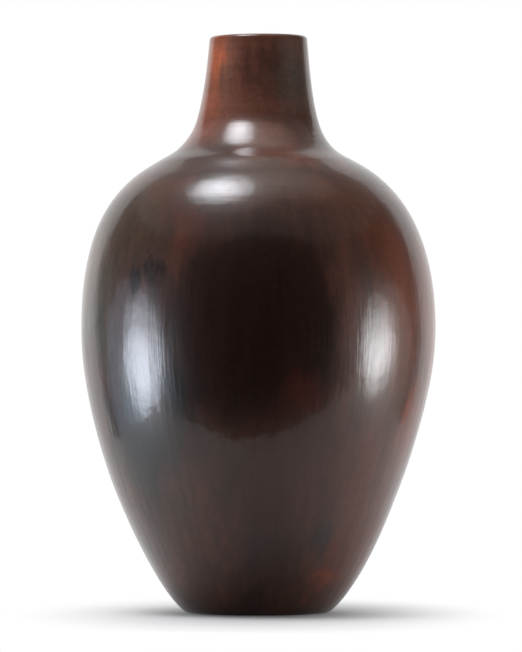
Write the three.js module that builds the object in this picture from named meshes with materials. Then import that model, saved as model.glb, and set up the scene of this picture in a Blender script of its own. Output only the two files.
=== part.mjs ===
// A tall burnished earthenware jar: narrow foot, egg-shaped body, short neck with a plain round lip.
// It is built the way a potter builds one this size by hand: on a slab, the wall goes up in flat
// straps of clay, 4 to 6 cm wide, each luted onto the one below with a ridge in a groove.
// Millimetres, +Z up. The origin is on the ground, under the middle of the foot.

import * as THREE from "three";

// Foot
const FOOT_RADIUS = 55;
const FOOT_FLARE_DEG = 33; // how steeply the wall leaves the ground
const FOOT_SPRING = 35; // how long it keeps that direction
const FOOT_EDGE = 3; // how far the corner at the ground is worn round
const FOOT_RING = 12; // width of the ring that the jar stands on
const FOOT_HOLLOW = 1.5; // the underside is scraped hollow inside that ring

// Body
const BELLY_HEIGHT = 222.5; // above the ground
const BELLY_RADIUS = 138;
const BELLY_DROP = 79; // how long the wall stays upright under the belly
const BELLY_LIFT = 95; // how long it stays upright over it

// Shoulder and neck
const SHOULDER_RISE = 128.5; // from the belly up to the root of the neck
const ROOT_RADIUS = 78.5; // the root is where the round of the shoulder turns into the neck's sweep
const ROOT_SLOPE_DEG = 30; // slope of the wall there
const ROOT_RUN_IN = 18.5; // how long the shoulder keeps that slope
const ROOT_RUN_OUT = 22.5; // how long the neck keeps it
const NECK_RISE = 99; // from the root up to the top of the lip
const NECK_SWEEP = 90; // how long the neck is nearly straight under the lip
const MOUTH_RADIUS = 38;
const MOUTH_TAPER_DEG = 4.5; // the neck still closes in by this much at the lip

// Clay
const WALL = 6.5;
const LIP = 6; // the wall thins to this at the mouth and ends in a half round
const FLOOR = 9;
const FLOOR_FILLET = 12; // clay pressed into the corner between floor and wall
const KEY = 2; // depth of the ridge and groove of each luted seam
const LOWER_STRAPS = 4; // from the ground to the belly
const UPPER_STRAPS = 3; // from the belly to the root of the neck
const NECK_STRAPS = 3;

// Facets
const ROUND_STEPS = 56;
const LOWER_STEPS = 3; // in each strap
const UPPER_STEPS = 4;
const NECK_STEPS = 4;
const LIP_STEPS = 6;
const FILLET_STEPS = 4;
const EDGE_STEPS = 3;

const fired = {
  smoked: new THREE.MeshStandardMaterial({ color: 0x3a2a24, roughness: 0.45, metalness: 0 }),
  brown: new THREE.MeshStandardMaterial({ color: 0x4a3028, roughness: 0.3, metalness: 0 }),
  umber: new THREE.MeshStandardMaterial({ color: 0x54382b, roughness: 0.3, metalness: 0 }),
  rust: new THREE.MeshStandardMaterial({ color: 0x6b3d2d, roughness: 0.3, metalness: 0 }),
};

// A point of the outline: radius and height.
const at = (radius, height) => new THREE.Vector2(radius, height);

// A step of the given length, at an angle above level, away from the axis.
function step(length, degrees) {
  const angle = THREE.MathUtils.degToRad(degrees);
  return at(length * Math.cos(angle), length * Math.sin(angle));
}

// The point that lies square behind a point of the outside face, at a depth in the wall.
function behind(curve, t, depth) {
  const along = curve.getTangent(t);
  return curve.getPoint(t).sub(at(along.y, -along.x).multiplyScalar(depth));
}

// Points between two shares of a curve, from the ground up, at a depth in the wall.
function stretch(curve, steps, depthAt, start = 0, end = 1) {
  const points = [];
  for (let i = 1; i < steps; i++) {
    const t = start + ((end - start) * i) / steps;
    points.push(behind(curve, t, depthAt(t)));
  }
  return points;
}

// How far up a curve a depth in its wall reaches a height, found by halving.
function shareAtHeight(curve, depth, height) {
  let low = 0;
  let high = 1;
  while (high - low > 1e-9) {
    const middle = (low + high) / 2;
    if (behind(curve, middle, depth).y < height) {
      low = middle;
    } else {
      high = middle;
    }
  }
  return low;
}

const onOutside = () => 0;
const onInside = () => WALL;
const onNeckInside = (t) => WALL + (LIP - WALL) * t;

// The edge along which two straps are luted: the upper one's ridge sits in the lower one's groove.
function lutedEdge(share, outer, inner) {
  const across = inner.clone().sub(outer).normalize();
  const ridge = outer.clone().lerp(inner, 0.5).add(at(-across.y, across.x).multiplyScalar(KEY));
  return { share, across: [outer, ridge, inner] };
}

// A luted edge square across a wall, at a share of its curve.
function edgeAt(wall, share) {
  const inner = behind(wall.curve, share, wall.depthAt(share));
  return lutedEdge(share, wall.curve.getPoint(share), inner);
}

// The edges that part a wall into straps of even width, with those at its lower and upper end.
function edgesOf(wall, first, last) {
  const edges = [first];
  for (let i = 1; i < wall.straps; i++) {
    edges.push(edgeAt(wall, wall.curve.getUtoTmapping(i / wall.straps)));
  }
  return [...edges, last];
}

// A piece of the jar, turned from a profile that closes on itself or runs from axis to axis.
function turned(name, profile, material) {
  const solid = new THREE.LatheGeometry(profile, ROUND_STEPS).rotateX(Math.PI / 2);
  const mesh = new THREE.Mesh(solid, material);
  mesh.name = name;
  return mesh;
}

// A strap between two edges: up the outside, over its top and down the inside. The lowest one
// has a fillet at the foot of its inside, and the inside's even thickness begins above that.
function strap(name, wall, below, above, foot = { share: below.share, fillet: [] }) {
  return turned(name, [
    below.across[0],
    ...stretch(wall.curve, wall.steps, onOutside, below.share, above.share),
    ...above.across,
    ...stretch(wall.curve, wall.steps, wall.depthAt, foot.share, above.share).reverse(),
    ...foot.fillet,
    ...below.across.slice().reverse(),
  ], wall.material);
}

// The outside face is three curves that run smoothly into each other.
const footPoint = at(FOOT_RADIUS, 0);
const bellyPoint = at(BELLY_RADIUS, BELLY_HEIGHT);
const rootPoint = at(ROOT_RADIUS, BELLY_HEIGHT + SHOULDER_RISE);
const rootDirection = 180 - ROOT_SLOPE_DEG;
const mouthDirection = 90 + MOUTH_TAPER_DEG;
const lipOut = step(LIP / 2, MOUTH_TAPER_DEG);
const lipMiddle = at(MOUTH_RADIUS - lipOut.x, rootPoint.y + NECK_RISE - LIP / 2);
const mouthPoint = lipMiddle.clone().add(lipOut);

const lowerCurve = new THREE.CubicBezierCurve(
  footPoint,
  footPoint.clone().add(step(FOOT_SPRING, FOOT_FLARE_DEG)),
  bellyPoint.clone().sub(at(0, BELLY_DROP)),
  bellyPoint,
);
const shoulderCurve = new THREE.CubicBezierCurve(
  bellyPoint,
  bellyPoint.clone().add(at(0, BELLY_LIFT)),
  rootPoint.clone().sub(step(ROOT_RUN_IN, rootDirection)),
  rootPoint,
);
const neckCurve = new THREE.CubicBezierCurve(
  rootPoint,
  rootPoint.clone().add(step(ROOT_RUN_OUT, rootDirection)),
  mouthPoint.clone().sub(step(NECK_SWEEP, mouthDirection)),
  mouthPoint,
);

const lowerWall = {
  curve: lowerCurve,
  depthAt: onInside,
  straps: LOWER_STRAPS,
  steps: LOWER_STEPS,
  material: fired.brown,
};
const upperWall = {
  curve: shoulderCurve,
  depthAt: onInside,
  straps: UPPER_STRAPS,
  steps: UPPER_STEPS,
  material: fired.umber,
};
const neckWall = {
  curve: neckCurve,
  depthAt: onNeckInside,
  straps: NECK_STRAPS,
  steps: NECK_STEPS,
  material: fired.rust,
};

// The slab's edge is level, and as wide as the wall and the fillet that runs out over the slab.
const slabShare = shareAtHeight(lowerCurve, 0, FLOOR);
const filletShare = shareAtHeight(lowerCurve, WALL, FLOOR + FLOOR_FILLET);
const floorCorner = behind(lowerCurve, shareAtHeight(lowerCurve, WALL, FLOOR), WALL);
const floorEdge = floorCorner.clone().sub(at(FLOOR_FILLET, 0));
const slabEdge = lutedEdge(slabShare, lowerCurve.getPoint(slabShare), floorEdge);
const foot = {
  share: filletShare,
  fillet: new THREE.QuadraticBezierCurve(
    behind(lowerCurve, filletShare, WALL),
    floorCorner,
    floorEdge,
  ).getPoints(FILLET_STEPS).slice(0, -1),
};

const bellyEdge = edgeAt(lowerWall, 1);
const rootEdge = edgeAt(upperWall, 1);

// The mouth's edge isn't luted to anything: it ends in the half round of the lip.
const mouthEdge = { share: 1, across: [] };
for (let i = 0; i <= LIP_STEPS; i++) {
  const turn = MOUTH_TAPER_DEG + (180 * i) / LIP_STEPS;
  mouthEdge.across.push(lipMiddle.clone().add(step(LIP / 2, turn)));
}

const lowerEdges = edgesOf(lowerWall, slabEdge, bellyEdge);
const upperEdges = edgesOf(upperWall, { ...bellyEdge, share: 0 }, rootEdge);
const neckEdges = edgesOf(neckWall, { ...rootEdge, share: 0 }, mouthEdge);

// The slab that the jar stands on, with its worn edge and scraped underside.
function baseSlab() {
  const edge = new THREE.QuadraticBezierCurve(
    at(FOOT_RADIUS - FOOT_EDGE, 0),
    footPoint,
    lowerCurve.getPoint(FOOT_EDGE / (3 * FOOT_SPRING)),
  );
  const ringInside = FOOT_RADIUS - FOOT_EDGE - FOOT_RING;
  const hollowEdge = ringInside - 2 * FOOT_HOLLOW;
  return turned("base_slab", [
    at(0, FOOT_HOLLOW),
    at(hollowEdge, FOOT_HOLLOW),
    at(ringInside, 0),
    ...edge.getPoints(EDGE_STEPS),
    ...slabEdge.across,
    at(0, floorEdge.y),
  ], fired.smoked);
}

const jar = new THREE.Group();
jar.add(
  baseSlab(),
  strap("foot_strap", lowerWall, lowerEdges[0], lowerEdges[1], foot),
  strap("flare_strap", lowerWall, lowerEdges[1], lowerEdges[2]),
  strap("lower_belly_strap", lowerWall, lowerEdges[2], lowerEdges[3]),
  strap("belly_strap", lowerWall, lowerEdges[3], lowerEdges[4]),
  strap("upper_belly_strap", upperWall, upperEdges[0], upperEdges[1]),
  strap("shoulder_strap", upperWall, upperEdges[1], upperEdges[2]),
  strap("collar_strap", upperWall, upperEdges[2], upperEdges[3]),
  strap("neck_root_strap", neckWall, neckEdges[0], neckEdges[1]),
  strap("neck_strap", neckWall, neckEdges[1], neckEdges[2]),
  strap("mouth_strap", neckWall, neckEdges[2], neckEdges[3]),
);

export default jar;
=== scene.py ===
"""A tall burnished pottery jar, dressed as it came out of a smoky fire.

The jar is hand-built low-fired clay. Its slab and its ten straps are turned here as fine surfaces
in the places of the plain ones, then made a little uneven, as a hand leaves them, and finished in
burnished and in scraped clay. A small studio with three soft lamps lights it.
"""

import logging
import math
from collections.abc import Sequence
from dataclasses import dataclass, field, fields, replace
from enum import Enum
from functools import partial

import bpy
import numpy as np
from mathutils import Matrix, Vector


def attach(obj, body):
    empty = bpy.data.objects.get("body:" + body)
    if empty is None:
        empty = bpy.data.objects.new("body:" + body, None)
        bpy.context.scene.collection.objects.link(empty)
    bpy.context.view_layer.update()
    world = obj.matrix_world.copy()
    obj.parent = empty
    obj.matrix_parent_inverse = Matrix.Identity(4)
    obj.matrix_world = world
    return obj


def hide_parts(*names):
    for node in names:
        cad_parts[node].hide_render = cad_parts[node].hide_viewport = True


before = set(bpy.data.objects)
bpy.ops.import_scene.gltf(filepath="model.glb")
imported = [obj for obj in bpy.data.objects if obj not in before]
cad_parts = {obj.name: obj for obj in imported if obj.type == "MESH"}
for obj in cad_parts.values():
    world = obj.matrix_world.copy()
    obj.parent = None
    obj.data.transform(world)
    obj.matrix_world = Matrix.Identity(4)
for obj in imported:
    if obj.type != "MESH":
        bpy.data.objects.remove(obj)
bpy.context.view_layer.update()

log = logging.getLogger("jar")

MM = 0.001
BODY = "root"
LOWER_STRAPS = ("foot_strap", "flare_strap", "lower_belly_strap", "belly_strap")
UPPER_STRAPS = ("upper_belly_strap", "shoulder_strap", "collar_strap")
NECK_STRAPS = ("neck_root_strap", "neck_strap", "mouth_strap")
LENGTH_STEPS = 400  # how finely a curve is measured
SHARE_STEPS = 2000  # how finely it is parted into even lengths
SHARE_ERROR = 1e-9  # how closely a share is found
FEWEST_ROWS = 3  # of faces along a stretch of wall
MICROMETRES = 1e6  # in a metre; points that lie on the same one are one
LEAST_LENGTH = 1e-12  # so that nothing is divided by a length of 0

# Kinds of node that are used often. Map Range takes what it maps from as 1 and 2, and what it maps
# to as 3 and 4. Mix takes its factor as 0, then two numbers as 2 and 3, vectors as 4 and 5, or
# colours as 6 and 7, and gives out a number, a vector or a colour as 0, 1 or 2.
MATHS = "ShaderNodeMath"
VECTORS = "ShaderNodeVectorMath"
TURN = "ShaderNodeVectorRotate"
RANGE = "ShaderNodeMapRange"
NOISE = "ShaderNodeTexNoise"
MIX = "ShaderNodeMix"

Tree = bpy.types.NodeTree
Socket = bpy.types.NodeSocket
Outputs = bpy.types.NodeOutputs


def mm(length: float) -> float:
    """Millimetres as metres."""
    return length * MM


def linear(hex_colour: str) -> tuple[float, float, float, float]:
    """Turns an sRGB colour into the linear one that shaders take.

    Args:
        hex_colour: Six hex digits after a #.

    Returns:
        Red, green, blue and an alpha of 1.
    """
    levels = [int(hex_colour[start : start + 2], 16) / 255 for start in (1, 3, 5)]
    return *(v / 12.92 if v <= 0.04045 else ((v + 0.055) / 1.055) ** 2.4 for v in levels), 1.0


def add_node(
    tree: Tree, kind: str, inputs: dict[str | int, object] | tuple = (), **settings: object
) -> Outputs:
    """Adds a node with its settings, and fills or links its inputs.

    Args:
        tree: The tree that gets the node.
        kind: The node's type name.
        inputs: A value or an output socket for each input, by name or number or in their order.
        **settings: The node's own properties.

    Returns:
        The new node's outputs.
    """
    node = tree.nodes.new(kind)
    for name, value in settings.items():
        setattr(node, name, value)
    for name, value in enumerate(inputs) if isinstance(inputs, tuple) else inputs.items():
        if isinstance(value, Socket):
            tree.links.new(value, node.inputs[name])
        else:
            node.inputs[name].default_value = value
    return node.outputs


def new_material(name: str) -> tuple[bpy.types.Material, Tree]:
    """Starts a material.

    Args:
        name: Its name.

    Returns:
        The material and its empty node tree.
    """
    material = bpy.data.materials.new(name)
    material.use_nodes = True
    material.node_tree.nodes.clear()
    return material, material.node_tree


def spot(radius: float, height: float) -> np.ndarray:
    """A point of the jar's outline, in mm from its axis and from the ground."""
    return np.array([radius, height], dtype=float)


def polar(length: float, degrees: float) -> np.ndarray:
    """A step of a length, at an angle above level and away from the axis."""
    angle = math.radians(degrees)
    return length * spot(math.cos(angle), math.sin(angle))


def rounded(start: np.ndarray, corner: np.ndarray, end: np.ndarray, count: int) -> list[np.ndarray]:
    """Rounds a corner off.

    Args:
        start: Where the round begins.
        corner: The corner that it cuts.
        end: Where it ends.
        count: How many points it gets, both ends among them.

    Returns:
        The points of the round.
    """
    turn = np.linspace(0, 1, count)
    return [(1 - t) ** 2 * start + 2 * t * (1 - t) * corner + t**2 * end for t in turn]


@dataclass(frozen=True)
class Sweep:
    """A smooth stretch of the wall's outside, as a cubic curve of radius and height in mm."""

    start: np.ndarray
    start_handle: np.ndarray
    end_handle: np.ndarray
    end: np.ndarray

    def point(self, t: float) -> np.ndarray:
        """The point at a share of the curve."""
        u = 1 - t
        middle = 3 * u**2 * t * self.start_handle + 3 * u * t**2 * self.end_handle
        return u**3 * self.start + middle + t**3 * self.end

    def behind(self, t: float, depth: float) -> np.ndarray:
        """Finds a point in the clay, square behind the face.

        Args:
            t: The share of the curve.
            depth: How deep the point lies, in mm.

        Returns:
            The point.
        """
        u = 1 - t
        first = u**2 * (self.start_handle - self.start)
        middle = 2 * u * t * (self.end_handle - self.start_handle)
        along = first + middle + t**2 * (self.end - self.end_handle)
        along = along / np.linalg.norm(along)
        return self.point(t) - depth * spot(along[1], -along[0])

    def share_at_height(self, depth: float, height: float) -> float:
        """Finds by halving how far up the curve a depth behind it reaches a height.

        Args:
            depth: The depth behind the face, in mm.
            height: The height, in mm.

        Returns:
            The share of the curve.
        """
        low, high = 0.0, 1.0
        while high - low > SHARE_ERROR:
            middle = (low + high) / 2
            if self.behind(middle, depth)[1] < height:
                low = middle
            else:
                high = middle
        return low

    def length(self, start: float = 0.0, end: float = 1.0) -> float:
        """The length in mm of the curve between two shares."""
        chain = [self.point(t) for t in np.linspace(start, end, LENGTH_STEPS)]
        return float(sum(np.linalg.norm(b - a) for a, b in zip(chain, chain[1:])))

    def share_at_length(self, part: float) -> float:
        """Finds the share at which a part of the curve's whole length is reached.

        Args:
            part: The part of the length, from 0 to 1.

        Returns:
            The share of the curve.
        """
        shares = np.linspace(0, 1, SHARE_STEPS + 1)
        chain = np.array([self.point(t) for t in shares])
        run = np.concatenate([[0], np.cumsum(np.linalg.norm(np.diff(chain, axis=0), axis=1))])
        return float(np.interp(part * run[-1], run, shares))


@dataclass(frozen=True)
class Outline:
    """The jar's outside face and the thickness of its clay, in mm."""

    foot_radius: float = 55
    foot_flare: float = 33
    foot_spring: float = 35
    foot_edge: float = 3
    foot_ring: float = 12
    foot_hollow: float = 1.5
    belly_height: float = 222.5
    belly_radius: float = 138
    belly_drop: float = 79
    belly_lift: float = 95
    root_height: float = 351
    root_radius: float = 78.5
    root_slope: float = 30
    root_run_in: float = 18.5
    root_run_out: float = 22.5
    neck_sweep: float = 90
    mouth_radius: float = 38
    mouth_taper: float = 4.5
    height: float = 450
    wall: float = 6.5
    lip: float = 6
    floor: float = 9
    floor_fillet: float = 12
    key: float = 2

    @property
    def belly(self) -> np.ndarray:
        """The widest point of the outside."""
        return spot(self.belly_radius, self.belly_height)

    @property
    def root(self) -> np.ndarray:
        """Where the round of the shoulder turns into the neck's sweep."""
        return spot(self.root_radius, self.root_height)

    @property
    def lip_middle(self) -> np.ndarray:
        """The centre of the lip's half round."""
        out = polar(self.lip / 2, self.mouth_taper)
        return spot(self.mouth_radius - out[0], self.height - self.lip / 2)

    @property
    def floor_corner(self) -> np.ndarray:
        """Where the wall's inside would meet the floor, if no fillet filled the corner."""
        return self.lower.behind(self.lower.share_at_height(self.wall, self.floor), self.wall)

    @property
    def lower(self) -> Sweep:
        """Draws the outside from the ground up to the belly.

        Returns:
            The curve, from its lower end up.
        """
        foot = spot(self.foot_radius, 0)
        flare = polar(self.foot_spring, self.foot_flare)
        return Sweep(foot, foot + flare, self.belly - spot(0, self.belly_drop), self.belly)

    @property
    def upper(self) -> Sweep:
        """Draws the outside from the belly up to the root of the neck.

        Returns:
            The curve, from its lower end up.
        """
        run_in = polar(self.root_run_in, 180 - self.root_slope)
        lift = spot(0, self.belly_lift)
        return Sweep(self.belly, self.belly + lift, self.root - run_in, self.root)

    @property
    def neck(self) -> Sweep:
        """Draws the outside from the neck's root up to the lip.

        Returns:
            The curve, from its lower end up.
        """
        run_out = polar(self.root_run_out, 180 - self.root_slope)
        mouth = self.lip_middle + polar(self.lip / 2, self.mouth_taper)
        sweep = polar(self.neck_sweep, 90 + self.mouth_taper)
        return Sweep(self.root, self.root + run_out, mouth - sweep, mouth)

    def radius_at(self, height: float) -> float:
        """Finds the outside radius at a height.

        Args:
            height: The height, in mm.

        Returns:
            The radius, in mm.
        """
        for sweep in (self.lower, self.upper, self.neck):
            if height <= sweep.end[1]:
                return float(sweep.point(sweep.share_at_height(0, height))[0])
        return self.mouth_radius


@dataclass(frozen=True)
class Edge:
    """The edge of a strap, at a share of its wall: points across it from the outside in."""

    share: float
    across: tuple[np.ndarray, ...]
    luted: bool = True

    @classmethod
    def keyed(cls, share: float, outer: np.ndarray, inner: np.ndarray, key: float) -> "Edge":
        """An edge where two straps are luted.

        Args:
            share: Where it lies along its wall.
            outer: Its point on the outside.
            inner: Its point on the inside.
            key: The depth in mm of the groove, which takes the upper strap's ridge.

        Returns:
            The edge.
        """
        across = (inner - outer) / np.linalg.norm(inner - outer)
        ridge = (outer + inner) / 2 + key * spot(-across[1], across[0])
        return cls(share, (outer, ridge, inner))


@dataclass(frozen=True)
class Wall:
    """A stretch of wall that is built of straps of even width."""

    sweep: Sweep
    straps: tuple[str, ...]
    thickness: float
    thickness_at_top: float

    def depth(self, t: float) -> float:
        """The wall's thickness at a share of it."""
        return self.thickness + (self.thickness_at_top - self.thickness) * t

    def edge(self, share: float, key: float) -> Edge:
        """A luted edge square across the wall."""
        inner = self.sweep.behind(share, self.depth(share))
        return Edge.keyed(share, self.sweep.point(share), inner, key)

    def edges(self, first: Edge, last: Edge, key: float) -> list[Edge]:
        """The edges that part the wall into its straps, with those at its two ends.

        Args:
            first: The edge at the lower end.
            last: The edge at the upper end.
            key: The depth of the grooves in mm.

        Returns:
            The edges from the lower end up.
        """
        count = len(self.straps)
        shares = [self.sweep.share_at_length(i / count) for i in range(1, count)]
        return [first, *(self.edge(share, key) for share in shares), last]

    def rows(self, start: float, end: float, spacing: float, inside: bool) -> list[np.ndarray]:
        """Points along one face between two shares, both ends left out.

        Args:
            start: The share that the stretch starts from.
            end: The share that it ends at.
            spacing: The distance between two rows, in mm.
            inside: Whether the face is the wall's inside.

        Returns:
            The points from the lower end up.
        """
        count = max(FEWEST_ROWS, round(self.sweep.length(start, end) / spacing))
        shares = np.linspace(start, end, count + 1)[1:-1]
        return [self.sweep.behind(t, self.depth(t) if inside else 0.0) for t in shares]


class Face(Enum):
    """The faces of a piece, by how far a pebble rubs them."""

    OUTSIDE = 1.0
    INSIDE = 0.0


@dataclass
class Profile:
    """What a piece is turned from: points in mm, with what the clay is like at each."""

    points: list[np.ndarray] = field(default_factory=list)
    burnish: list[float] = field(default_factory=list)
    ridge: list[bool] = field(default_factory=list)

    def add(self, points: Sequence[np.ndarray], burnish: float | Sequence[float]) -> None:
        """Adds points of a face of the clay.

        Args:
            points: The points in order.
            burnish: How far they are rubbed, from 0 to 1, as one value or one for each.
        """
        self.points.extend(points)
        each = [burnish] * len(points) if isinstance(burnish, float) else burnish
        self.burnish.extend(each)
        self.ridge.extend([False] * len(points))

    def add_seam(self, edge: Edge, downwards: bool) -> None:
        """Adds the points across a luted edge, from the outside in or back out.

        Args:
            edge: The edge.
            downwards: Whether the profile runs from the inside to the outside there.
        """
        self.points.extend(reversed(edge.across) if downwards else edge.across)
        self.burnish.extend([0.0, 0.0, 1.0] if downwards else [1.0, 0.0, 0.0])
        self.ridge.extend([False, True, False])


@dataclass
class PottersWheel:
    """Geometry nodes that turn a profile into a piece, and leave it as uneven as a hand does.

    The centre line drifts in a helix, the round is oval and wavers, and the rim is tilted. The pad
    is a swelling, and reaches further over its middle than under it. Lengths are in mm.
    """

    turns: int = 256
    drift: float = 0.65
    drift_period: float = 230
    drift_crest: float = 223
    drift_rise: float = 90
    oval: float = 0.003
    oval_bearing: float = 0
    waver: float = 1.5
    waver_size: float = 85
    waver_detail: float = 2.0
    waver_roughness: float = 0.45
    pad: float = 5.8
    pad_place: tuple[float, float, float] = (-12.0, -60.0, 359.2)
    pad_over: tuple[float, float, float] = (120.0, 120.0, 31.0)
    pad_under: tuple[float, float, float] = (120.0, 120.0, 19.0)
    rim_tilt: float = 0.45
    tilt_from: float = 380
    tilt_to: float = 450
    seed: int = 7
    merge: float = 0.002

    def settings(self) -> dict[str, float | int | tuple[float, ...]]:
        """The tree's inputs, one for each field.

        Returns:
            The values by the inputs' names, in metres and radians.
        """
        made = {}
        for part in fields(self):
            value = getattr(self, part.name)
            if part.name in ("oval_bearing", "rim_tilt"):
                value = math.radians(value)
            elif isinstance(value, tuple):
                value = tuple(mm(each) for each in value)
            elif part.name not in ("turns", "oval", "waver_detail", "waver_roughness", "seed"):
                value = mm(value)
            made[part.name.replace("_", " ").title()] = value
        return made

    def tree(self) -> Tree:
        """Builds the node tree.

        Returns:
            The tree, which takes a profile, the settings by name and the two finishes.
        """
        tree = bpy.data.node_groups.new("potters_wheel", "GeometryNodeTree")
        sockets = {int: "NodeSocketInt", float: "NodeSocketFloat", tuple: "NodeSocketVector"}
        kinds = {"Profile": "NodeSocketGeometry"}
        kinds |= {name: sockets[type(value)] for name, value in self.settings().items()}
        kinds |= {"Burnished": "NodeSocketMaterial", "Scraped": "NodeSocketMaterial"}
        for name, kind in kinds.items():
            tree.interface.new_socket(name, in_out="INPUT", socket_type=kind)
        tree.interface.new_socket("Piece", in_out="OUTPUT", socket_type="NodeSocketGeometry")
        node = partial(add_node, tree)
        given = node("NodeGroupInput")
        shape = self._shape(tree, given, self._turn(tree, given))
        shape = node("GeometryNodeSetShadeSmooth", {"Geometry": shape})[0]
        shape = node("GeometryNodeRealizeInstances", {"Geometry": shape})[0]
        burnish = node("GeometryNodeInputNamedAttribute", {"Name": "burnish"})[0]
        rubbed = node("FunctionNodeCompare", (burnish, 0.001), operation="GREATER_THAN")[0]
        for finish, faces in (("Scraped", True), ("Burnished", rubbed)):
            dressed = {"Geometry": shape, "Selection": faces, "Material": given[finish]}
            shape = node("GeometryNodeSetMaterial", dressed)[0]
        node("NodeGroupOutput", {"Piece": shape})
        return tree

    def _turn(self, tree: Tree, given: Outputs) -> Socket:
        """Turns the profile about the axis: a grid with a row for each point of the profile.

        Args:
            tree: The wheel's tree.
            given: The tree's inputs.

        Returns:
            The socket of the closed, evenly round piece.
        """
        node = partial(add_node, tree)
        profile = given["Profile"]
        rows = node("GeometryNodeAttributeDomainSize", {"Geometry": profile})[0]
        columns = node("FunctionNodeIntegerMath", (given["Turns"], 1), operation="ADD")[0]
        shape = node("GeometryNodeMeshGrid", {"Vertices X": rows, "Vertices Y": columns})[0]
        number = node("GeometryNodeInputIndex")[0]
        row, column = (
            node("FunctionNodeIntegerMath", (number, columns), operation=operation)[0]
            for operation in ("DIVIDE_FLOOR", "MODULO")
        )
        for name, kind in (("burnish", "FLOAT"), ("ridge", "BOOLEAN")):
            value = node("GeometryNodeInputNamedAttribute", {"Name": name}, data_type=kind)[0]
            sample = {"Geometry": profile, "Value": value, "Index": row}
            value = node("GeometryNodeSampleIndex", sample, data_type=kind)[0]
            stored = {"Geometry": shape, "Name": name, "Value": value}
            shape = node("GeometryNodeStoreNamedAttribute", stored, data_type=kind)[0]
        where = node("GeometryNodeInputPosition")[0]
        sample = {"Geometry": profile, "Value": where, "Index": row}
        where = node("GeometryNodeSampleIndex", sample, data_type="FLOAT_VECTOR")[0]
        part = node(MATHS, (column, given["Turns"]), operation="DIVIDE")[0]
        angle = node(MATHS, (part, math.tau), operation="MULTIPLY")[0]
        place = node(TURN, {"Vector": where, "Angle": angle}, rotation_type="Z_AXIS")[0]
        shape = node("GeometryNodeSetPosition", {"Geometry": shape, "Position": place})[0]
        merged = {"Geometry": shape, "Distance": given["Merge"]}
        return node("GeometryNodeMergeByDistance", merged)[0]

    def _shape(self, tree: Tree, given: Outputs, turned: Socket) -> Socket:
        """Lets the centre line drift, the round waver, the front of the root swell and the rim tip.

        Args:
            tree: The wheel's tree.
            given: The tree's inputs.
            turned: The socket of the evenly round piece.

        Returns:
            The socket of the uneven piece.
        """
        node = partial(add_node, tree)
        place = node("GeometryNodeInputPosition")[0]
        at = node("ShaderNodeSeparateXYZ", {0: place})

        over_crest = node(MATHS, (at["Z"], given["Drift Crest"]), operation="SUBTRACT")[0]
        periods = node(MATHS, (over_crest, given["Drift Period"]), operation="DIVIDE")[0]
        angle = node(MATHS, (periods, math.tau), operation="MULTIPLY")[0]
        rise = {"Value": at["Z"], 2: given["Drift Rise"], 4: given["Drift"]}
        risen = node(RANGE, rise, interpolation_type="SMOOTHSTEP")[0]
        arm = node("ShaderNodeCombineXYZ", {"X": risen})[0]
        drift = node(TURN, {"Vector": arm, "Angle": angle}, rotation_type="Z_AXIS")[0]

        bearing = given["Oval Bearing"]
        aligned = {"Vector": place, "Angle": bearing}
        long_way = node(TURN, aligned, rotation_type="Z_AXIS", invert=True)[0]
        widened = node(VECTORS, (long_way, (1.0, -1.0, 0.0)), operation="MULTIPLY")[0]
        widened = node(VECTORS, {0: widened, "Scale": given["Oval"]}, operation="SCALE")[0]
        oval = node(TURN, {"Vector": widened, "Angle": bearing}, rotation_type="Z_AXIS")[0]

        scale = node(MATHS, (1.0, given["Waver Size"]), operation="DIVIDE")[0]
        lumps = {"Vector": place, "W": given["Seed"], "Scale": scale}
        lumps |= {"Detail": given["Waver Detail"], "Roughness": given["Waver Roughness"]}
        noise = node(NOISE, lumps, noise_dimensions="4D")[0]
        swell = node(MATHS, (noise, 0.5), operation="SUBTRACT")[0]
        swell = node(MATHS, (swell, given["Waver"]), operation="MULTIPLY")[0]

        middle = node("ShaderNodeSeparateXYZ", {0: given["Pad Place"]})["Z"]
        over = node(MATHS, (at["Z"], middle), operation="GREATER_THAN")[0]
        sizes = {0: over, 4: given["Pad Under"], 5: given["Pad Over"]}
        size = node(MIX, sizes, data_type="VECTOR")[1]
        away = node(VECTORS, (place, given["Pad Place"]), operation="SUBTRACT")[0]
        away = node(VECTORS, (away, size), operation="DIVIDE")[0]
        share = node(VECTORS, {0: away}, operation="LENGTH")[1]
        falling = {"Value": share, 1: 1.0, 2: 0.0, 3: 0.0, 4: given["Pad"]}
        pad = node(RANGE, falling, interpolation_type="SMOOTHERSTEP")[0]
        swell = node(MATHS, (swell, pad), operation="ADD")[0]
        out = node(VECTORS, (place, (1.0, 1.0, 0.0)), operation="MULTIPLY")[0]
        out = node(VECTORS, {0: out}, operation="NORMALIZE")[0]
        waver = node(VECTORS, {0: out, "Scale": swell}, operation="SCALE")[0]

        tipped = {"Value": at["Z"], 1: given["Tilt From"], 2: given["Tilt To"], 4: given["Rim Tilt"]}
        tip = node(RANGE, tipped, interpolation_type="SMOOTHSTEP")[0]
        lift = node(MATHS, (tip, at["X"]), operation="MULTIPLY")[0]
        offset = node("ShaderNodeCombineXYZ", {"Z": lift})[0]
        for part in (drift, oval, waver):
            offset = node(VECTORS, (offset, part), operation="ADD")[0]
        return node("GeometryNodeSetPosition", {"Geometry": turned, "Offset": offset})[0]


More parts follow.
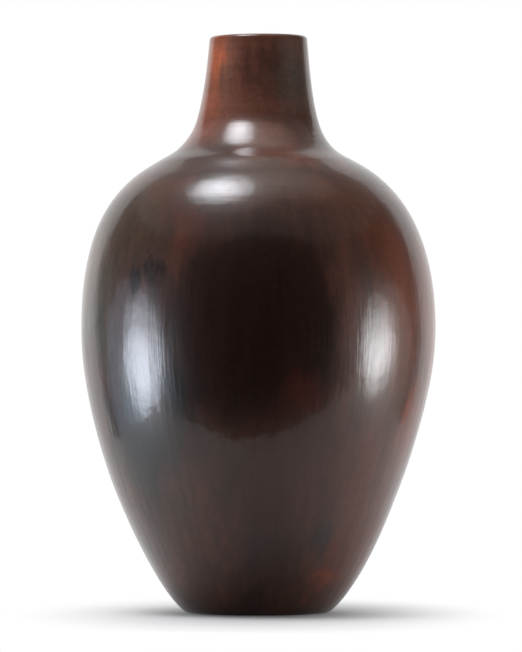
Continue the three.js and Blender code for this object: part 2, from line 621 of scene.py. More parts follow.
@dataclass
class Piece:
    """One piece of clay, luted to its neighbours: a closed solid turned from a profile."""

    name: str
    outline: Outline
    row: float = 2.2  # between two rows of faces on the outside, in mm
    inside_row: float = 5.0

    def profile(self) -> Profile:
        """The profile that the piece is turned from."""
        raise NotImplementedError

    def throw(
        self,
        wheel: PottersWheel,
        tree: Tree,
        burnished: bpy.types.Material,
        scraped: bpy.types.Material,
    ) -> bpy.types.Object:
        """Turns the piece on the wheel.

        Args:
            wheel: The wheel, with how uneven it leaves the clay.
            tree: The wheel's node tree.
            burnished: The finish of the rubbed faces.
            scraped: The finish of the faces that no pebble reached.

        Returns:
            The piece as a plain mesh.
        """
        profile = self.profile()
        mesh = bpy.data.meshes.new(f"{self.name}_profile")
        mesh.from_pydata([(mm(r), 0.0, mm(z)) for r, z in profile.points], [], [])
        mesh.attributes.new("burnish", "FLOAT", "POINT").data.foreach_set("value", profile.burnish)
        mesh.attributes.new("ridge", "BOOLEAN", "POINT").data.foreach_set("value", profile.ridge)
        thrown = bpy.data.objects.new(f"fired_{self.name}", mesh)
        bpy.context.scene.collection.objects.link(thrown)
        modifier = thrown.modifiers.new("wheel", "NODES")
        modifier.node_group = tree
        given = wheel.settings() | {"Burnished": burnished, "Scraped": scraped}
        for item in tree.interface.items_tree:
            if item.in_out == "INPUT" and item.name in given:
                modifier[item.identifier] = given[item.name]
        graph = bpy.context.evaluated_depsgraph_get()
        solid = bpy.data.meshes.new_from_object(
            thrown.evaluated_get(graph), preserve_all_data_layers=True, depsgraph=graph
        )
        thrown.modifiers.clear()
        thrown.data = solid
        bpy.data.meshes.remove(mesh)
        solid.name = thrown.name
        return thrown

    def seat(self, thrown: bpy.types.Object, slot: str) -> None:
        """Puts the piece in its plain one's place.

        Args:
            thrown: The finished piece.
            slot: The record's material slot, which is not used.
        """
        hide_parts(self.name)
        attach(thrown, BODY)


@dataclass
class Slab(Piece):
    """The slab that the jar stands on, with its worn edge and scraped underside."""

    above: Edge | None = None
    soft: float = 0.4  # how far the edges of the scraped hollow are worn, in mm
    under_rows: int = 8
    ring_rows: int = 5
    edge_rows: int = 6
    floor_rows: int = 10

    def profile(self) -> Profile:
        """Draws the profile from the middle of the underside round to the middle of the floor.

        Returns:
            The profile, which ends on the axis at both ends.
        """
        o = self.outline
        worn = o.foot_radius - o.foot_edge
        ring = worn - o.foot_ring
        hollow = ring - 2 * o.foot_hollow
        share = o.foot_edge / (3 * o.foot_spring)
        edge = rounded(spot(worn, 0), spot(o.foot_radius, 0), o.lower.point(share), self.edge_rows)
        scraped = np.linspace(0, hollow - 2 * self.soft, self.under_rows)
        under = [spot(radius, o.foot_hollow) for radius in scraped]
        under.append(spot(hollow + self.soft, o.foot_hollow - self.soft / 2))
        under.append(spot(ring - self.soft, self.soft / 2))
        rested = np.linspace(ring + 1.5 * self.soft, worn, self.ring_rows)
        under += [spot(radius, 0) for radius in rested]
        reach, top = self.above.across[-1]
        floor = [spot(radius, top) for radius in np.linspace(reach, 0, self.floor_rows)[1:]]
        wall = Wall(o.lower, (), o.wall, o.wall)
        made = Profile()
        made.add(under, Face.INSIDE.value)
        made.add(edge[1:], Face.OUTSIDE.value)
        made.add(wall.rows(share, self.above.share, self.row, False), Face.OUTSIDE.value)
        made.add_seam(self.above, downwards=False)
        made.add(floor, Face.INSIDE.value)
        return made


@dataclass
class Strap(Piece):
    """A flat strap of clay between two edges of a wall."""

    wall: Wall | None = None
    below: Edge | None = None
    above: Edge | None = None
    burnish_reach: float = 28  # how far the burnishing goes on inside the mouth, in mm

    def profile(self) -> Profile:
        """Draws the profile up the outside, over the top and down the inside.

        Returns:
            The profile, which is closed on itself.
        """
        below, above = self.below, self.above
        start, foot = self.inside_foot()
        inner = self.wall.rows(start, above.share, self.inside_row, True)[::-1]
        made = Profile()
        made.add([below.across[0]], Face.OUTSIDE.value)
        outer = self.wall.rows(below.share, above.share, self.row, False)
        made.add(outer, Face.OUTSIDE.value)
        if above.luted:
            made.add_seam(above, downwards=False)
            made.add(inner, Face.INSIDE.value)
        else:
            made.add(above.across, Face.OUTSIDE.value)
            made.add(inner, [self.rubbed(point) for point in inner])
        made.add(foot, Face.INSIDE.value)
        made.add_seam(below, downwards=True)
        return made

    def inside_foot(self) -> tuple[float, list[np.ndarray]]:
        """Where the inside's even thickness begins, and the points under that."""
        return self.below.share, []

    def rubbed(self, point: np.ndarray) -> float:
        """How far the inside is burnished at a point, which ends where the fingers tire."""
        return max(0.0, 1 - (self.outline.height - float(point[1])) / self.burnish_reach)


@dataclass
class FootStrap(Strap):
    """The lowest strap, whose inside runs out over the slab in a fillet."""

    fillet_rows: int = 8

    def inside_foot(self) -> tuple[float, list[np.ndarray]]:
        """Draws the fillet.

        Returns:
            The share at which it ends, and its points from there down to the slab.
        """
        o = self.outline
        share = o.lower.share_at_height(o.wall, o.floor + o.floor_fillet)
        top = o.lower.behind(share, o.wall)
        end = self.below.across[-1]
        return share, rounded(top, o.floor_corner, end, self.fillet_rows)[:-1]


def read(items: bpy.types.bpy_prop_collection, name: str, kind: type, wide: int = 1) -> np.ndarray:
    """Reads one property of many items at once.

    Args:
        items: The items.
        name: The property's name.
        kind: The type of its values.
        wide: How many values each item has.

    Returns:
        The values, with a row for each item if it has more than one.
    """
    values = np.empty(len(items) * wide, dtype=kind)
    items.foreach_get(name, values)
    return values.reshape(-1, wide) if wide > 1 else values


def smooth_across_seams(pieces: Sequence[bpy.types.Object]) -> None:
    """Gives neighbours the same normals at a seam, so that no seam shows in the gloss.

    Args:
        pieces: The pieces, whose rings at a seam lie on the same points.
    """
    meshes = [piece.data for piece in pieces]
    places = [read(mesh.vertices, "co", np.float32, 3) for mesh in meshes]
    keys = np.round(np.concatenate(places) * MICROMETRES).astype(np.int64)
    _, shared = np.unique(keys, axis=0, return_inverse=True)
    shared = shared.reshape(-1)
    total = np.zeros((shared.max() + 1, 3))
    parts = []
    first = 0
    for mesh, place in zip(meshes, places):
        corner = read(mesh.loops, "vertex_index", np.int32)
        sides = read(mesh.polygons, "loop_total", np.int32)
        owner = np.repeat(np.arange(len(mesh.polygons)), sides)
        normal = read(mesh.polygons, "normal", np.float32, 3)
        area = read(mesh.polygons, "area", np.float32)
        ridge = read(mesh.attributes["ridge"].data, "value", bool)
        in_seam = np.zeros(len(mesh.polygons), dtype=bool)
        np.logical_or.at(in_seam, owner, ridge[corner])
        skin = ~in_seam[owner]
        group = shared[first + corner]
        np.add.at(total, group[skin], (normal * area[:, None])[owner[skin]])
        parts.append((mesh, group, owner, normal, skin))
        first += len(place)
    total /= np.maximum(np.linalg.norm(total, axis=1, keepdims=True), LEAST_LENGTH)
    for mesh, group, owner, normal, skin in parts:
        corners = np.where(skin[:, None], total[group], normal[owner])
        mesh.normals_split_custom_set(corners.tolist())


@dataclass(frozen=True)
class FireCloudAndPaintedReflection:
    """A patch of colour on the clay. Most are where the fire coloured it: where flame reached the clay,
    or fuel smothered it. One is a painted reflection, as the list marks.

    The bearing is in degrees from the front, towards the viewer's right. Sizes are in mm. Soot and
    ash can dull the polish as well.
    """

    bearing: float
    height: float
    wide: float
    tall: float
    colour: str
    strength: float = 1.0
    soft: float = 0.9
    dull: float = 0.0

    def centre(self, outline: Outline) -> tuple[float, float, float]:
        """Finds the middle of the patch.

        Args:
            outline: The jar's outside.

        Returns:
            The place on it, in metres.
        """
        radius = outline.radius_at(self.height)
        angle = math.radians(self.bearing)
        return mm(radius) * math.sin(angle), -mm(radius) * math.cos(angle), mm(self.height)


@dataclass(frozen=True)
class Lumps:
    """How a noise is drawn: the size of its lumps in mm, the finer ones in them, and their share."""

    size: float
    detail: float
    roughness: float

    def inputs(self, place: Socket) -> dict[str | int, object]:
        """The noise's inputs, at a place in metres."""
        finer = {"Detail": self.detail, "Roughness": self.roughness}
        return {"Vector": place, "Scale": 1 / mm(self.size)} | finer


@dataclass(frozen=True)
class Mottle:
    """A colour that shows through the clay's own where a noise is high.

    It begins to show at one level of the noise and shows most from another.
    """

    colour: str
    lumps: Lumps
    begins: float
    full: float
    most: float = 0.8
    twist: float = 0.4


@dataclass(frozen=True)
class Marks:
    """Marks that the pebble leaves: how wide, long and deep in mm, and how far they shade the clay."""

    width: float
    length: float
    depth: float
    shade: float


@dataclass(frozen=True)
class BurnishedClay:
    """Red clay rubbed with a pebble while leather-hard, then fired in smoke.

    The rubbing lays the clay's plates flat, so the skin is glossy without a glaze. The pebble went
    up and down the body and round the neck, and its strokes show where a lamp is mirrored. The
    smoke leaves the clay mottled from rust to near black. One near-black patch, low on the front,
    is a painted reflection of the dark room.
    """

    outline: Outline
    name: str = "clay_pebble_burnished_smoke_fired"
    ground: str = "#3b231a"
    raw: str = "#4a3a31"
    smoked: Mottle = Mottle("#241510", Lumps(46, 6, 0.6), 0.46, 0.68)
    toasted: Mottle = Mottle("#542e21", Lumps(28.75, 6, 0.6), 0.5, 0.7)
    mottle_upright: float = 0.45  # how fast it changes up the wall, against round it
    patch_edge: Lumps = Lumps(22, 5, 0.66)
    patch_stray: float = 28  # how far the edge of a patch strays, in mm
    patch_upright: float = 0.3  # the same for that edge
    fleck: Lumps = Lumps(5, 4, 0.7)
    fleck_shade: float = 0.16
    # The real grain is under half a millimetre, too fine to show, so it is drawn coarser.
    grain: Lumps = Lumps(1.6, 3, 0.65)
    grain_shade: float = 0.1
    dent: Lumps = Lumps(9, 2, 0.5)
    dent_depth: float = 0.13
    stroke: Marks = Marks(1.3, 34, 0.06, 0.06)
    flat: Marks = Marks(11, 70, 0.26, 0.14)
    marks_detail: float = 2
    marks_roughness: float = 0.6
    shade_from: float = 0.3  # a noise seldom leaves the range between these two
    shade_to: float = 0.7
    turn_from: float = 285  # the strokes turn from upright to level between these heights
    turn_to: float = 325
    gloss: float = 0.105
    haze: float = 0.34
    polished: float = 0.68
    polish_spread: float = 0.15
    polish_from: float = 0.35
    polish_to: float = 0.65
    rough_share: float = 0.3
    raw_roughness: float = 0.8
    index: float = 1.42
    clouds: tuple[FireCloudAndPaintedReflection, ...] = ()

    def material(self) -> bpy.types.Material:
        """Builds the material.

        Returns:
            The finish of the jar's outside.
        """
        material, tree = new_material(self.name)
        node = partial(add_node, tree)
        place = node("ShaderNodeTexCoord")["Object"]
        burnish = node("ShaderNodeAttribute", attribute_name="burnish")["Fac"]
        stroke, flat = (self._marks(tree, place, marks) for marks in (self.stroke, self.flat))
        noises = (self.grain, self.dent, self.fleck)
        grain, dent, fleck = (node(NOISE, lumps.inputs(place))[0] for lumps in noises)

        colour, sheen = self._fire_clouds_and_painted_reflection(tree, place, self._mottle(tree, place))
        shades = (
            (fleck, self.fleck_shade),
            (grain, self.grain_shade),
            (stroke, self.stroke.shade),
            (flat, self.flat.shade),
        )
        for height, spread in shades:
            tones = {1: self.shade_from, 2: self.shade_to, 3: 1 - spread, 4: 1 + spread}
            shade = node(RANGE, {"Value": height} | tones)[0]
            colour = node(VECTORS, {0: colour, "Scale": shade}, operation="SCALE")[0]
        rubbed = {0: burnish, 6: linear(self.raw), 7: colour}
        colour = node(MIX, rubbed, data_type="RGBA")[2]

        worn = node(MIX, {0: 0.5, 2: stroke, 3: grain})[0]
        most, least = (self.polished * (1 + way * self.polish_spread) for way in (1, -1))
        wear = {"Value": worn, 1: self.polish_from, 2: self.polish_to, 3: most, 4: least}
        polished = node(RANGE, wear)[0]
        for share in (burnish, sheen):
            polished = node(MATHS, (polished, share), operation="MULTIPLY")[0]
        rough = node(MIX, {0: burnish, 2: self.raw_roughness, 3: self.haze})[0]

        normal = node("ShaderNodeBump", {"Distance": mm(self.dent_depth), "Height": dent})[0]
        for height, marks in ((flat, self.flat), (stroke, self.stroke)):
            bent = {"Distance": mm(marks.depth), "Height": height, "Normal": normal}
            normal = node("ShaderNodeBump", bent)[0]
        clay = {"Base Color": colour, "Roughness": rough, "IOR": self.index, "Normal": normal}
        clay |= {"Specular IOR Level": self.rough_share, "Coat Weight": polished}
        clay |= {"Coat Roughness": self.gloss, "Coat IOR": self.index, "Coat Normal": normal}
        shader = node("ShaderNodeBsdfPrincipled", clay)[0]
        node("ShaderNodeOutputMaterial", {"Surface": shader})
        return material

    def _mottle(self, tree: Tree, place: Socket) -> Socket:
        """The clay's own uneven colour, drawn out up the wall.

        Args:
            tree: The material's tree.
            place: The place on the jar.

        Returns:
            The socket of the colour.
        """
        node = partial(add_node, tree)
        upright = (1.0, 1.0, self.mottle_upright)
        drawn = node(VECTORS, (place, upright), operation="MULTIPLY")[0]
        colour: object = linear(self.ground)
        for number, mottle in enumerate((self.smoked, self.toasted)):
            lumps = mottle.lumps.inputs(drawn) | {"W": float(number), "Distortion": mottle.twist}
            noise = node(NOISE, lumps, noise_dimensions="4D")[0]
            level = {"Value": noise, 1: mottle.begins, 2: mottle.full, 4: mottle.most}
            mask = node(RANGE, level)[0]
            laid = {0: mask, 6: colour, 7: linear(mottle.colour)}
            colour = node(MIX, laid, data_type="RGBA")[2]
        return colour

    def _fire_clouds_and_painted_reflection(self, tree: Tree, place: Socket, colour: Socket) -> tuple[Socket, Socket]:
        """Lays the patches over the clay's colour: the fire's clouds, and one painted reflection.

        Args:
            tree: The material's tree.
            place: The place on the jar.
            colour: The colour under them.

        Returns:
            The socket of the colour with the patches, and that of the share of polish they leave.
        """
        node = partial(add_node, tree)
        upright = (1.0, 1.0, self.patch_upright)
        drawn = node(VECTORS, (place, upright), operation="MULTIPLY")[0]
        ragged = node(NOISE, self.patch_edge.inputs(drawn))["Color"]
        stray = mm(self.patch_stray)
        shift = {0: ragged, 1: (2 * stray,) * 3, 2: (-stray,) * 3}
        shifted = node(VECTORS, shift, operation="MULTIPLY_ADD")[0]
        warped = node(VECTORS, (place, shifted), operation="ADD")[0]
        sheen = node("ShaderNodeValue")[0]
        sheen.default_value = 1.0
        for patch in self.clouds:
            centre = patch.centre(self.outline)
            away = node(VECTORS, (warped, centre), operation="SUBTRACT")[0]
            reach = (mm(patch.wide), mm(patch.wide), mm(patch.tall))
            away = node(VECTORS, (away, reach), operation="DIVIDE")[0]
            share = node(VECTORS, {0: away}, operation="LENGTH")[1]
            fading = {"Value": share, 1: 1.0, 2: 1.0 - patch.soft, 3: 0.0, 4: patch.strength}
            mask = node(RANGE, fading, interpolation_type="SMOOTHSTEP")[0]
            laid = {0: mask, 6: colour, 7: linear(patch.colour)}
            colour = node(MIX, laid, data_type="RGBA")[2]
            dulled = {0: mask, 1: -patch.dull / patch.strength, 2: sheen}
            sheen = node(MATHS, dulled, operation="MULTIPLY_ADD", use_clamp=True)[0]
        return colour, sheen

    def _marks(self, tree: Tree, place: Socket, marks: Marks) -> Socket:
        """Marks of the pebble: upright on the body, level on the neck.

        Args:
            tree: The material's tree.
            place: The place on the jar.
            marks: Their sizes.

        Returns:
            The socket of their height, from 0 to 1.
        """
        node = partial(add_node, tree)
        around = node(VECTORS, (place, (1.0, 1.0, 0.0)), operation="MULTIPLY")[0]
        around = node(VECTORS, {0: around}, operation="NORMALIZE")[0]
        runs = (
            (self.outline.belly_radius / marks.width, marks.length),
            (self.outline.mouth_radius / marks.length, marks.width),
        )
        heights = []
        for ring, rise in runs:
            spread = node(VECTORS, {0: around, "Scale": ring}, operation="SCALE")[0]
            risen = {0: place, 1: (0.0, 0.0, 1 / mm(rise)), 2: spread}
            drawn = node(VECTORS, risen, operation="MULTIPLY_ADD")[0]
            lumps = {"Detail": self.marks_detail, "Roughness": self.marks_roughness}
            heights.append(node(NOISE, {"Vector": drawn, "Scale": 1.0} | lumps)[0])
        height = node("ShaderNodeSeparateXYZ", {0: place})["Z"]
        bounds = {"Value": height, 1: mm(self.turn_from), 2: mm(self.turn_to)}
        turned = node(RANGE, bounds)[0]
        return node(MIX, {0: turned, 2: heights[0], 3: heights[1]})[0]


@dataclass(frozen=True)
class ScrapedClay:
    """The same clay where no pebble reached: scraped with a rib, dry, matt and sooty."""

    name: str = "clay_rib_scraped_smoke_fired"
    colour: str = "#4a3a31"
    soot_colour: str = "#2c231f"
    soot: Lumps = Lumps(45, 5, 0.6)
    # Its real grit is under a millimetre, too fine to show, so it is drawn coarser.
    grit: Lumps = Lumps(1.5, 3, 0.5)
    grit_depth: float = 0.25
    roughness: float = 0.8
    index: float = 1.5

    def material(self) -> bpy.types.Material:
        """Builds the material.

        Returns:
            The finish of the inside and the underside.
        """
        material, tree = new_material(self.name)
        node = partial(add_node, tree)
        place = node("ShaderNodeTexCoord")["Object"]
        soot, grit = (node(NOISE, lumps.inputs(place))[0] for lumps in (self.soot, self.grit))
        sooty = {0: soot, 6: linear(self.colour), 7: linear(self.soot_colour)}
        colour = node(MIX, sooty, data_type="RGBA")[2]
        normal = node("ShaderNodeBump", {"Distance": mm(self.grit_depth), "Height": grit})[0]
        clay = {"Base Color": colour, "Roughness": self.roughness, "IOR": self.index}
        shader = node("ShaderNodeBsdfPrincipled", clay | {"Normal": normal})[0]
        node("ShaderNodeOutputMaterial", {"Surface": shader})
        return material


@dataclass
class Jar:
    """The whole jar: a slab and the straps of clay that are luted onto it."""

    outline: Outline = field(default_factory=Outline)
    wheel: PottersWheel = field(default_factory=PottersWheel)
    lip_rows: int = 12

    def pieces(self) -> list[Piece]:
        """Parts the jar into its pieces of clay.

        Returns:
            The pieces from the ground up.
        """
        o = self.outline
        lower = Wall(o.lower, LOWER_STRAPS, o.wall, o.wall)
        upper = Wall(o.upper, UPPER_STRAPS, o.wall, o.wall)
        neck = Wall(o.neck, NECK_STRAPS, o.wall, o.lip)
        slab_share = o.lower.share_at_height(0, o.floor)
        floor_edge = o.floor_corner - spot(o.floor_fillet, 0)
        slab = Edge.keyed(slab_share, o.lower.point(slab_share), floor_edge, o.key)
        belly, root = lower.edge(1.0, o.key), upper.edge(1.0, o.key)
        edges = [
            lower.edges(slab, belly, o.key),
            upper.edges(replace(belly, share=0.0), root, o.key),
            neck.edges(replace(root, share=0.0), self.mouth(), o.key),
        ]
        made: list[Piece] = [Slab("base_slab", o, above=slab)]
        for wall, ends in zip((lower, upper, neck), edges):
            for name, below, above in zip(wall.straps, ends, ends[1:]):
                kind = FootStrap if below is slab else Strap
                made.append(kind(name, o, wall=wall, below=below, above=above))
        return made

    def mouth(self) -> Edge:
        """Draws the mouth's edge, which isn't luted to anything.

        Returns:
            The half round of the lip.
        """
        o = self.outline
        turns = [o.mouth_taper + 180 * i / self.lip_rows for i in range(self.lip_rows + 1)]
        points = tuple(o.lip_middle + polar(o.lip / 2, turn) for turn in turns)
        return Edge(1.0, points, luted=False)

    def build(self) -> list[bpy.types.Object]:
        """Turns, finishes and seats every piece.

        Returns:
            The finished pieces.
        """
        burnished = BurnishedClay(self.outline, clouds=self.clouds()).material()
        scraped = ScrapedClay().material()
        tree = self.wheel.tree()
        pieces = self.pieces()
        thrown = [piece.throw(self.wheel, tree, burnished, scraped) for piece in pieces]
        smooth_across_seams(thrown)
        for piece, solid in zip(pieces, thrown):
            piece.seat(solid, "scraped_clay" if isinstance(piece, Slab) else "burnished_clay")
            log.info("%s: %d faces", solid.name, len(solid.data.polygons))
        return thrown

    def clouds(self) -> tuple[FireCloudAndPaintedReflection, ...]:
        """Lists the patches of colour: the fire's clouds, and one painted reflection.

        Returns:
            The patches, each with its place on the jar.
        """
        # bearing, height, wide, tall, colour, strength, soft and dull, in that order
        return (
            FireCloudAndPaintedReflection(-10, 412, 95, 64, "#603a2e", 0.9, 0.35),
            FireCloudAndPaintedReflection(-58, 425, 30, 62, "#80462f", 0.85),
            FireCloudAndPaintedReflection(-54, 430, 9, 30, "#a0502f", 0.5),
            FireCloudAndPaintedReflection(-34, 415, 9, 44, "#4c372a", 0.5),
            FireCloudAndPaintedReflection(-7, 424, 13, 26, "#3e1e19", 0.6),
            FireCloudAndPaintedReflection(-65, 378, 40, 32, "#703f31", 0.7),
            FireCloudAndPaintedReflection(52, 415, 48, 62, "#393028", 0.9),
            FireCloudAndPaintedReflection(40, 378, 45, 26, "#3c261e", 0.7),
            FireCloudAndPaintedReflection(18, 432, 26, 12, "#3a241c", 0.6),
            FireCloudAndPaintedReflection(12, 354, 46, 16, "#5e3526", 0.7),
            FireCloudAndPaintedReflection(40, 318, 75, 45, "#482819", 0.75),
            FireCloudAndPaintedReflection(-46, 322, 48, 32, "#4a2819", 0.8, dull=0.1),
            FireCloudAndPaintedReflection(-25, 296, 15, 34, "#4a2419", 0.6, 0.5),
            FireCloudAndPaintedReflection(-55, 300, 70, 60, "#3a3026", 0.75, dull=0.08),
            FireCloudAndPaintedReflection(-80, 265, 50, 70, "#5a4b3e", 0.85),
            FireCloudAndPaintedReflection(-64, 225, 34, 80, "#423e36", 0.85),
            # This patch darkens the front, the side that faces the camera, round the belly.
            FireCloudAndPaintedReflection(0, 225, 86, 95, "#23130e", 0.9, 0.35),
            FireCloudAndPaintedReflection(16, 110, 80, 90, "#3a1d15", 0.8, dull=0.2),
            FireCloudAndPaintedReflection(-46, 140, 70, 100, "#212526", 0.9),
            FireCloudAndPaintedReflection(55, 250, 55, 95, "#603425", 0.85),
            FireCloudAndPaintedReflection(84, 230, 60, 110, "#784334", 0.85),
            FireCloudAndPaintedReflection(70, 140, 45, 70, "#642d1e", 0.8, dull=0.2),
            FireCloudAndPaintedReflection(48, 110, 42, 70, "#4e2517", 0.8),
            FireCloudAndPaintedReflection(31, 238, 24, 80, "#583226", 0.65),
            FireCloudAndPaintedReflection(40, 252, 6, 50, "#2e2a20", 0.6),
            FireCloudAndPaintedReflection(15, 170, 30, 25, "#4a2018", 0.6),
            FireCloudAndPaintedReflection(61, 48, 60, 84, "#552a1b", 0.85, dull=0.65),
            FireCloudAndPaintedReflection(32, 55, 13, 60, "#221c1a", 0.8),
            FireCloudAndPaintedReflection(43, 25, 26, 11, "#70351f", 0.7, dull=0.2),
            FireCloudAndPaintedReflection(62, 163, 15, 30, "#7a3d29", 0.8, dull=0.4),
            FireCloudAndPaintedReflection(46, 318, 30, 30, "#3a2418", 0.5, dull=0.5),
            # A painted reflection: this near-black patch, low on the left of the front, stands in for
            # the dark room mirrored there. It also dulls the polish.
            FireCloudAndPaintedReflection(-26, 168, 24, 34, "#0e0b0b", 0.85, dull=0.2),
            FireCloudAndPaintedReflection(-45, 258, 11, 18, "#150c09", 0.9, 0.6, 0.85),
            FireCloudAndPaintedReflection(-37, 267, 9, 10, "#150c09", 0.8, 0.6, 0.65),
        )


@dataclass
class SoftBox:
    """A round lamp behind cloth, which faces the jar and is brightest in its middle.

    The bearing is from the camera's side, towards the viewer's right, and the rise is above level,
    both in degrees. Lengths are in metres. It is made up of discs, each smaller and a step nearer
    to the jar. The droop is how many degrees lower the smallest would hang, if it were a point.
    """

    name: str
    bearing: float
    rise: float
    distance: float
    wide: float
    tall: float
    radiance: float
    tint: str = "#ffffff"
    droop: float = 0.0
    discs: int = 4
    step: float = 0.01

    def build(self, aim: tuple[float, float, float]) -> None:
        """Hangs the lamp.

        Args:
            aim: The point that it faces.
        """
        for number in range(self.discs):
            share = 1 - number / self.discs
            angle = math.radians(self.bearing)
            rise = math.radians(self.rise - self.droop * (1 - share))
            level = math.cos(rise)
            out = Vector((math.sin(angle) * level, -math.cos(angle) * level, math.sin(rise)))
            data = bpy.data.lights.new(self.name, "AREA")
            data.shape = "ELLIPSE"
            data.size = self.wide * share
            data.size_y = self.tall * share
            area = math.pi / 4 * data.size * data.size_y
            data.energy = self.radiance / self.discs * math.pi * area
            data.color = linear(self.tint)[:3]
            lamp = bpy.data.objects.new(self.name, data)
            lamp.location = Vector(aim) + out * (self.distance - number * self.step)
            lamp.rotation_mode = "QUATERNION"
            lamp.rotation_quaternion = out.to_track_quat("Z", "Y")
            bpy.context.scene.collection.objects.link(lamp)


@dataclass(frozen=True)
class Paper:
    """Uncoated paper, which is matt and white. Lengths are in metres.

    It is lit round the jar, where it takes the jar's soft shadow, and plain white further off. The
    lit part is deeper than it is wide, and lies a little nearer to the camera.
    """

    name: str = "paper_matt_white"
    colour: str = "#c0c0c0"
    lit_to: float = 0.015
    white_from: float = 0.2
    depth: float = 1.9
    forward: float = 0.03

    def material(self) -> bpy.types.Material:
        """Builds the material.

        Returns:
            The finish of the table.
        """
        material, tree = new_material(self.name)
        node = partial(add_node, tree)
        place = node("ShaderNodeTexCoord")["Object"]
        nearer = {1: (1.0, 1 / self.depth, 1.0), 2: (0.0, self.forward / self.depth, 0.0)}
        away = node(VECTORS, {0: place} | nearer, operation="MULTIPLY_ADD")[0]
        away = node(VECTORS, {0: away}, operation="LENGTH")[1]
        fading = {"Value": away, 1: self.lit_to, 2: self.white_from}
        far = node(RANGE, fading, interpolation_type="SMOOTHSTEP")[0]
        path = node("ShaderNodeLightPath")
        seen = path["Is Camera Ray"]
        for name in ("Is Glossy Ray", "Is Transmission Ray"):
            seen = node(MATHS, (seen, path[name]), operation="MAXIMUM")[0]
        white = node(MATHS, (far, seen), operation="MULTIPLY")[0]
        lit = node("ShaderNodeBsdfDiffuse", {"Color": linear(self.colour)})[0]
        plain = node("ShaderNodeEmission", {"Strength": 1.0})[0]
        both = node("ShaderNodeMixShader", {0: white, 1: lit, 2: plain})[0]
        node("ShaderNodeOutputMaterial", {"Surface": both})
        return material


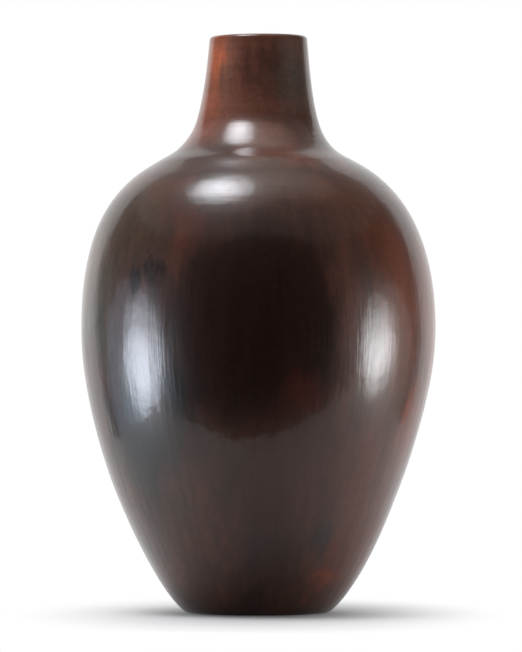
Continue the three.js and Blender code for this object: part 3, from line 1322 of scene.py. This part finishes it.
@dataclass
class Studio:
    """A white table before a white wall, three soft lamps, and a dark room round the camera.

    Lengths are in metres, and brightness is a share of white. The half angles are between the way
    to the wall and the borders of the wall and of the grey sides, in degrees.
    """

    aim: tuple[float, float, float] = (0.0, 0.0, 0.2)
    table_left: float = -0.52
    table_right: float = 0.6
    table_front_left: float = -0.29
    table_front_right: float = -0.38
    table_back: float = 2.5
    wall_half_angle: float = 51
    sides_half_angle: float = 132
    sides_end: float = -0.1  # the sides end here on the way from the camera (-1) to the wall (1)
    sides: float = 0.12
    room: float = 0.02
    ceiling_left: float = 0.4
    ceiling_right: float = 0.27
    ceiling_turn: float = 0.6  # it changes from the one to the other between these ways, left and right
    ceiling_rise: float = 40
    ceiling_sag: float = 0.13
    edge_blur: float = 0.012

    def build(self) -> None:
        """Sets up the table, the lamps and the surroundings."""
        self._table()
        self._surroundings()
        for box in self.lamps():
            box.build(self.aim)
            log.info("%s", box.name)

    def lamps(self) -> list[SoftBox]:
        """Lists the lamps.

        Returns:
            The three lamps, and the wide, faint glow of the cloth round each of them.
        """
        # name, bearing, rise, distance, wide, tall, radiance, tint, droop and discs, in that order
        return [
            SoftBox("lamp_left", -78.8, -6.2, 1.6, 0.97, 0.91, 25.5, "#e6effc", 6, 9),
            SoftBox("lamp_right", 81, -4, 1.6, 0.98, 0.82, 22.0, "#fafbfd", 5, 9),
            SoftBox("lamp_over", -62, 71.5, 1.4, 0.86, 0.74, 27.0, "#f4f8ff", 0, 9),
            SoftBox("glow_over", 20, 84, 1.5, 2.0, 1.3, 1.6, "#ffe9dc", 0, 5),
            SoftBox("glow_left", -86, -12, 1.7, 1.9, 1.6, 2.3, "#dcebff", 4, 2),
            SoftBox("glow_right", 90, -11, 1.7, 1.7, 1.5, 1.4, "#ffece0", 4, 2),
        ]

    def _table(self) -> None:
        """Lays the white table, which ends in front of the jar."""
        mesh = bpy.data.meshes.new("table")
        corners = [
            (self.table_left, self.table_front_left, 0),
            (self.table_right, self.table_front_right, 0),
            (self.table_right, self.table_back, 0),
            (self.table_left, self.table_back, 0),
        ]
        mesh.from_pydata(corners, [], [(0, 1, 2, 3)])
        mesh.materials.append(Paper().material())
        table = bpy.data.objects.new("table", mesh)
        bpy.context.scene.collection.objects.link(table)

    def _surroundings(self) -> None:
        """A white wall behind the jar, a grey ceiling, and the dark room round the camera."""
        world = bpy.data.worlds.new("studio")
        world.use_nodes = True
        world.node_tree.nodes.clear()
        node = partial(add_node, world.node_tree)
        way = node("ShaderNodeTexCoord")["Generated"]
        way = node("ShaderNodeSeparateXYZ", {0: way})
        blur = self.edge_blur
        wall_edge, side_edge = (
            math.cos(math.radians(angle)) for angle in (self.wall_half_angle, self.sides_half_angle)
        )
        rise = math.sin(math.radians(self.ceiling_rise))
        aside = node(MATHS, {0: way["X"]}, operation="ABSOLUTE")[0]
        sagging = {0: aside, 1: self.ceiling_sag, 2: way["Z"]}
        height = node(MATHS, sagging, operation="MULTIPLY_ADD")[0]
        across = {1: -self.ceiling_turn, 2: self.ceiling_turn}
        levels = {3: self.ceiling_left, 4: self.ceiling_right}
        ceiling = node(RANGE, {"Value": way["X"]} | across | levels)[0]
        bright: object = self.room
        zones = (
            (way["Y"], side_edge, self.sides),
            (way["Y"], self.sides_end, self.room),
            (way["Y"], wall_edge, 1.0),
            (height, rise, ceiling),
        )
        for along, start, level in zones:
            inside = node(RANGE, {"Value": along, 1: start - blur, 2: start + blur})[0]
            bright = node(MIX, {0: inside, 2: bright, 3: level})[0]
        behind = node(RANGE, {"Value": way["Y"], 1: wall_edge - blur, 2: wall_edge + blur})[0]
        bright = node(MATHS, (bright, behind), operation="MAXIMUM")[0]
        seen = node("ShaderNodeLightPath")["Is Camera Ray"]
        strength = node(MIX, {0: seen, 2: bright, 3: 1.0})[0]
        light = node("ShaderNodeBackground", {"Color": linear("#ffffff"), "Strength": strength})[0]
        node("ShaderNodeOutputWorld", {"Surface": light})
        bpy.context.scene.world = world


@dataclass
class Camera:
    """A long lens far in front of the jar, a little below its middle. Lengths are in metres."""

    distance: float = 4.05
    height: float = 0.174
    aside: float = 0.0027
    aim_height: float = 0.2237
    half_view: float = 0.2546
    sensor: float = 36.0

    def build(self) -> None:
        """Sets up the camera."""
        data = bpy.data.cameras.new("camera")
        data.sensor_width = self.sensor
        data.lens = self.sensor / 2 * self.distance / self.half_view
        camera = bpy.data.objects.new("camera", data)
        camera.location = (self.aside, -self.distance, self.height)
        pitch = math.atan2(self.aim_height - self.height, self.distance)
        camera.rotation_euler = (math.pi / 2 + pitch, 0, 0)
        bpy.context.scene.collection.objects.link(camera)
        bpy.context.scene.camera = camera


def main() -> None:
    """Builds the jar, its studio and its camera."""
    logging.basicConfig(level=logging.INFO, format="%(name)s: %(message)s")
    bpy.context.scene.view_settings.view_transform = "Standard"
    Jar().build()
    Studio().build()
    Camera().build()


if __name__ == "__main__":
    main()
